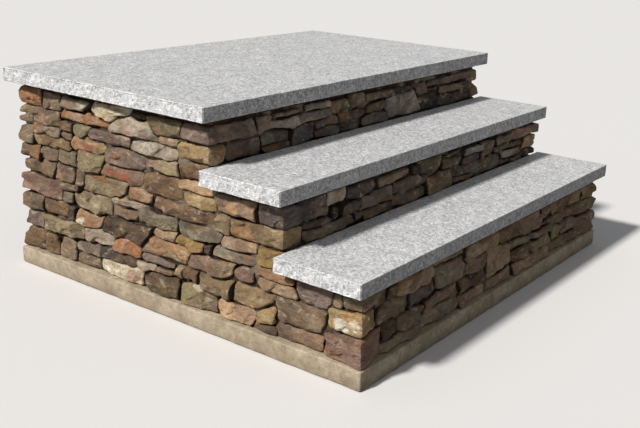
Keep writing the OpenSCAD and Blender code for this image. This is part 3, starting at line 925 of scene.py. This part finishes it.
# The right wall's courses start from the corner stones of each lift, or behind a tread at the
# heights given here, and end at the back corner.
FRONT_LINES = [("lower", 0), ("lower", 1), ("lower", 2), ("middle", (256, 318)), ("middle", 0),
               ("middle", 1), ("middle", 2), ("upper", (451, 509)), ("upper", 0), ("upper", 1)]
rows = []
for (lift, line), last in zip(FRONT_LINES, BACK_RIGHT):
    start = 4
    if isinstance(line, int):
        start = FRONT_RIGHT[lift][line][1]
        line = FRONT_RIGHT[lift][line][2:4]
    rows.append((RIGHT_START[lift] + start, SIDE - last[0], line, last[2:4]))
RIGHT_STONES = courses(rows, SIDE, 41)
BACK_STONES = courses([(first[1], LENGTH - last[0], first[2:4], last[2:4])
                       for first, last in zip(BACK_RIGHT, BACK_LEFT)], LENGTH, 42)


def add_corners(chart, rows, at, before=True):
    """The corner stones' boxes on one face: at its end (before the corner) or at its start."""
    for reach_before, reach_after, v0, v1, _, bed in rows:
        ends = (at - reach_before, at + OVERLAP) if before else (at - OVERLAP, at + reach_after)
        chart.add(*ends, v0, v1, 0, 0, bed)


left_chart = Chart(FACE["left"])
right_chart = Chart(FACE["right"])
back_chart = Chart(FACE["back"])
picked = {"left": left_chart.add_all(LEFT_STONES), "front": [], "right": right_chart.add_all(RIGHT_STONES),
          "back": back_chart.add_all(BACK_STONES)}
add_corners(left_chart, BACK_LEFT, 0, before=False)
add_corners(right_chart, BACK_RIGHT, SIDE)
add_corners(back_chart, BACK_RIGHT, 0, before=False)
add_corners(back_chart, BACK_LEFT, LENGTH)
for lift in LIFTS:
    add_corners(left_chart, FRONT_LEFT[lift], LEFT_LENGTH[lift])
    add_corners(right_chart, FRONT_RIGHT[lift], RIGHT_START[lift], before=False)
    chart = Chart(FACE[lift], RISER_PAINTED_SHADE[lift])
    picked["front"] += chart.add_all(RISER_STONES[lift])
    add_corners(chart, FRONT_LEFT[lift], 0, before=False)
    add_corners(chart, FRONT_RIGHT[lift], LENGTH)


def corner_stack(before, after, length, rows, before_stones, after_stones, offset=0):
    """A stack of corner stones, cut against the stones on both sides of the corner."""
    chart = Chart(Corner(before, after, length))
    stack = [(chart, chart.add(-row[0], *row[1:4], 0, 0, row[5]), row[4]) for row in rows]
    chart.add_all([stone for stone in before_stones if -CORNER_REACH < stone[1] - length <= 8], -length)
    chart.add_all([stone for stone in after_stones if -8 <= stone[0] - offset < CORNER_REACH], -offset)
    return stack


corners = []
for lift in LIFTS:
    risers = RISER_STONES[lift]
    begin = RIGHT_START[lift]
    corners += corner_stack(FACE["left"], FACE[lift], LEFT_LENGTH[lift], FRONT_LEFT[lift],
                            LEFT_STONES, risers)
    corners += corner_stack(FACE[lift], FACE["right"].shifted(begin), LENGTH, FRONT_RIGHT[lift],
                            risers, RIGHT_STONES, begin)
corners += corner_stack(FACE["right"], FACE["back"], SIDE, BACK_RIGHT, RIGHT_STONES, BACK_STONES)
corners += corner_stack(FACE["back"], FACE["left"], LENGTH, BACK_LEFT, BACK_STONES, LEFT_STONES)

for side, seed in (("left", 101), ("front", 102), ("right", 103), ("back", 104)):
    piece = lay("rubble_" + side, picked[side], seed, rubble)
    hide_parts(*[f"{lift}_{side}_wall" for lift in ("upper", "middle", "lower")])
corner_work = lay("corner_stones", corners, 105, corner_stone)
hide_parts(*[f"{lift}_{end}_quoins" for lift in ("upper", "middle", "lower")
                           for end in ("front_left", "front_right", "back_left", "back_right")])


def shell(name, box, pitch, arris, rough, seed, material, chips=0.0, hewn=0.0):
    """A closed block whose skin never leaves its box (metres): rounded, chipped arrises and an uneven
    surface. pitch (along x, y and z), arris, rough, chips and hewn, the extra roughness of the two
    ends, are in millimetres."""
    low, high = (np.array(corner) * 1000 for corner in box)
    lines = []
    for axis in range(3):
        size = high[axis] - low[axis]
        edge = [0, arris * 0.5] if size < 30 else [0, arris * 0.45, arris * 1.0, arris * 2.2]
        inner = size - 2 * edge[-1]
        count = max(1, int(round(inner / pitch[axis])))
        places = edge + [edge[-1] + inner * k / count for k in range(1, count)]
        lines.append(np.array(places + [size - e for e in reversed(edge)]) + low[axis])
    index = {}
    faces = []
    for axis, a, b in ((2, 0, 1), (1, 0, 2), (0, 1, 2)):
        for at in (0, len(lines[axis]) - 1):
            for i in range(len(lines[a]) - 1):
                for j in range(len(lines[b]) - 1):
                    face = []
                    for di, dj in ((0, 0), (1, 0), (1, 1), (0, 1)):
                        key = [at, at, at]
                        key[a] = i + di
                        key[b] = j + dj
                        face.append(index.setdefault(tuple(key), len(index)))
                    turned = (at == 0) == (axis != 1)
                    faces.append(face[::-1] if turned else face)
    p = np.array([[line[k] for line, k in zip(lines, key)] for key in index])
    r = arris * (1 + 0.35 * noise(p, 35, seed)) + chips * np.maximum(noise(p, 16, seed + 1) - 0.42, 0) * 3
    r = np.minimum(r, (high - low).min() * 0.45)[:, None]
    inner = np.clip(p, low + r, high - r)
    out = p - inner
    out = out / np.maximum(np.linalg.norm(out, axis=1)[:, None], 1e-9)
    down = rough * (0.5 + 0.32 * noise(p, 42, seed + 2) + 0.34 * noise(p, 13, seed + 3))
    broken = 0.5 + 0.4 * creased(p, 44, seed + 4) + 0.45 * creased(p, 17, seed + 5)
    broken = broken + 0.25 * creased(p, 8, seed + 6)
    from_end = (high - low) / 2 - np.abs(p - (low + high) / 2)
    at_end = np.maximum(np.abs(out[:, 0]), 0.6 * (from_end[:, 0] < 4))
    down = down + hewn * at_end * broken
    skin = inner + out * r - out * np.clip(down, 0, 2 * rough + hewn)[:, None]
    arrises = (np.abs(out) > 0.05).sum(axis=1) > 1
    info = np.column_stack([arrises, from_end[:, 0] < 2 * arris, from_end[:, 1] < 0.1])
    return make_piece(name, skin, faces, {"info": info}, material)


for name, seed in (("landing_slab", 31), ("middle_tread", 32), ("bottom_tread", 33)):
    piece = shell("stone_" + name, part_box(name), (11, 9, 5), 2.8, 0.6, seed, granite, 2.6, 7.0)
    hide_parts(name)
for name, seed in (("landing_bed", 51), ("middle_bed", 52), ("bottom_bed", 53)):
    piece = shell("mortar_" + name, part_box(name), (14, 40, 12), 2.0, 2.4, seed, mortar)
    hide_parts(name)
footing = shell("concrete_footing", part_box("footing"), (19, 19, 13), 6.0, 1.8, 61, concrete, 5.0)
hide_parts("footing")


def raked_depth(p):
    """How far behind the wall's face the mortar lies: smeared nearly flush here, deep there."""
    deep = 18.0 + 10.0 * noise(p, 58, 613) + 7.0 * creased(p, 21, 82) + 3.2 * creased(p, 9, 83)
    return np.clip(deep, *RAKE)


def joint_fill(name, plates):
    """Mortar behind the stones of one side: for each plate, a raked front and a flat back."""
    points = []
    faces = []
    depths = []
    count = 0
    for face, s0, s1, v0, v1 in plates:
        s = np.linspace(s0, s1, int((s1 - s0) / FILL_PITCH[0]) + 1)
        v = np.linspace(v0, v1, int((v1 - v0) / FILL_PITCH[1]) + 1)
        _, own_faces, loop = grid(len(s), len(v))
        s, v = np.repeat(s, len(v)), np.tile(v, len(s))
        deep = raked_depth(face.place(s, v, np.zeros(len(s))))
        ring = len(s) + np.arange(len(loop))
        own_faces += band(loop, ring) + [ring[::-1]]
        faces += [[i + count for i in own] for own in own_faces]
        points += [face.place(s, v, -deep), face.place(s[loop], v[loop], np.full(len(loop), -FILL_DEPTH))]
        depths += [deep, np.full(len(loop), RAKE[1])]
        count += len(s) + len(loop)
    share = (np.concatenate(depths) - RAKE[0]) / (RAKE[1] - RAKE[0])
    ob = make_piece(name, np.vstack(points), faces, {"info": share[:, None]}, raked_mortar)


for side in ("left", "right", "back", "front"):
    plates = []
    for lift, (front, bottom, top) in LIFTS.items():
        start = RIGHT_START[lift] if side == "right" else 0
        stop = {"left": LEFT_LENGTH[lift], "right": SIDE}.get(side, LENGTH)
        face = FACE[lift if side == "front" else side]
        plates.append((face, start + FILL_INSET, stop - FILL_INSET, bottom, top))
    joint_fill("joint_fill_" + side, plates)

# The stage: a plain pale floor on the ground, a pale world, one soft key and an even fill. The
# floor and the world are paler to the camera than to the object that they light.
floor_mesh = bpy.data.meshes.new("floor")
floor_mesh.from_pydata([(-40, -40, 0), (40, -40, 0), (40, 40, 0), (-40, 40, 0)], [], [(0, 1, 2, 3)])
floor = bpy.data.objects.new("floor", floor_mesh)
bpy.context.scene.collection.objects.link(floor)
g = Surface("floor_pale")
seen = g.seen("Is Camera Ray", "Is Glossy Ray", "Is Transmission Ray")
shown = g.add("Mix", {0: seen, 6: (0.3, 0.3, 0.3, 1.0), 7: (0.8, 0.79, 0.78, 1.0)}, 2, data_type="RGBA")
floor_mesh.materials.append(g.finish(shown, 0.9, 0.1))

world = bpy.data.worlds.new("studio")
bpy.context.scene.world = world
sky = Graph(world)
fill = sky.add("Background", {0: (0.93, 0.96, 1.0, 1.0), 1: 0.24})
pale = sky.add("Background", {0: (1.0, 1.0, 1.0, 1.0), 1: 0.92})
seen = sky.seen("Is Camera Ray", "Is Transmission Ray")
sky.add("OutputWorld", {0: sky.add("MixShader", {0: seen, 1: fill, 2: pale})})


def aim(ob, right, up, back, place=(0, 0, 0)):
    """Turns an object by its three axes, and moves it."""
    matrix = Matrix(np.column_stack([right, up, back]).tolist()).to_4x4()
    matrix.translation = place
    ob.matrix_world = matrix
    bpy.context.scene.collection.objects.link(ob)


key = bpy.data.lights.new("key", "SUN")
key.energy = 3.75
key.color = (1.0, 0.975, 0.94)
key.angle = math.radians(6)
back = -np.array([0.72, -0.16, -0.68])
back = back / np.linalg.norm(back)
across = np.cross((0, 0, 1), back)
across = across / np.linalg.norm(across)
aim(bpy.data.objects.new("key", key), across, np.cross(back, across), back)

# The camera: the photograph's place and angle, worked out from the three slabs' corners.
azimuth, elevation, roll = math.radians(53.45), math.radians(17.78), math.radians(2.24)
level = math.cos(elevation)
forward = np.array([math.sin(azimuth) * level, math.cos(azimuth) * level, -math.sin(elevation)])
right = np.array([math.cos(azimuth), -math.sin(azimuth), 0])
upward = np.cross(right, forward)
camera = bpy.data.cameras.new("camera")
camera.sensor_width = 36
camera.lens = 52.56
camera.clip_end = 200
camera_ob = bpy.data.objects.new("camera", camera)
aim(camera_ob, math.cos(roll) * right + math.sin(roll) * upward,
    math.cos(roll) * upward - math.sin(roll) * right, -forward, (-2.664, -1.946, 1.206))
bpy.context.scene.camera = camera_ob

bpy.context.scene.view_settings.view_transform = "Standard"
